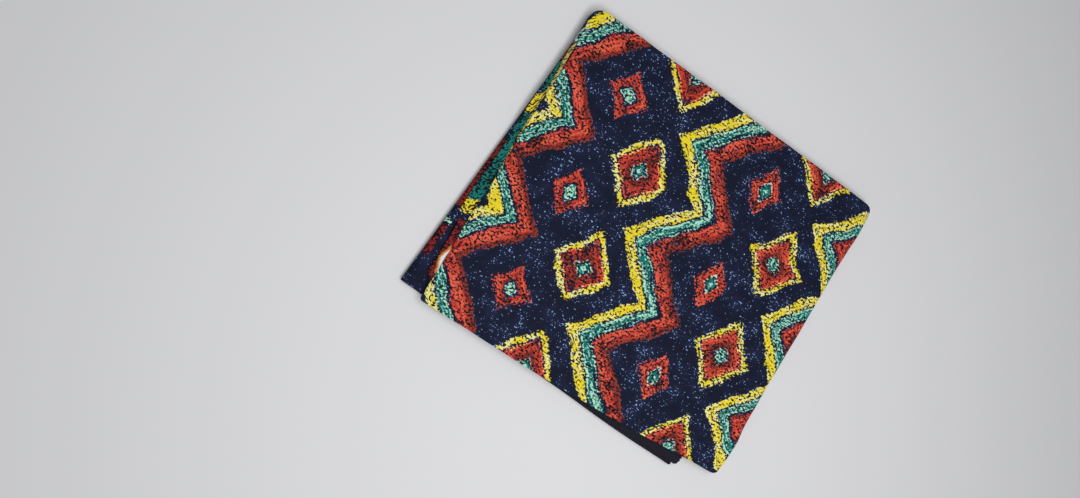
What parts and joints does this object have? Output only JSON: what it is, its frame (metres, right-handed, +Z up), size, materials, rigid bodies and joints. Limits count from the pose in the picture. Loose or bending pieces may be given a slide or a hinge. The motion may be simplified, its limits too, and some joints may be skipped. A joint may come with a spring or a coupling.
{
  "type": "folded wax print cloth",
  "caption": "Length of wax-printed cotton folded flat like a letter, with a clean fold on one side and stepped layers and a turned inner flap showing on the other.",
  "frame": {"origin": "on the surface it lies on, under the middle of its outline", "axes": "+Z up; +X along the longer side of the packet, towards the clean right fold; +Y towards the back edge, away from the selvedges"},
  "size_m": [0.3318, 0.2942, 0.012],
  "materials": {
    "print_top": "starched plain-weave cotton, block-like wax print in navy, red, yellow and teal, soft calendered sheen",
    "print_layers": "the same print on the plies that look out at the edges",
    "print_inner_flap": "the same print on the inner flap and its fold",
    "selvedge": "dark unprinted selvedge band, closely woven, matt"
  },
  "bodies": {
    "root": {"top_flap": "print_top", "second_layer": "print_layers", "third_layer": "print_layers", "left_fold": "print_inner_flap", "selvedge_upper": "selvedge", "selvedge_lower": "selvedge", "inner_layers": "print_layers"}
  },
  "joints": []
}
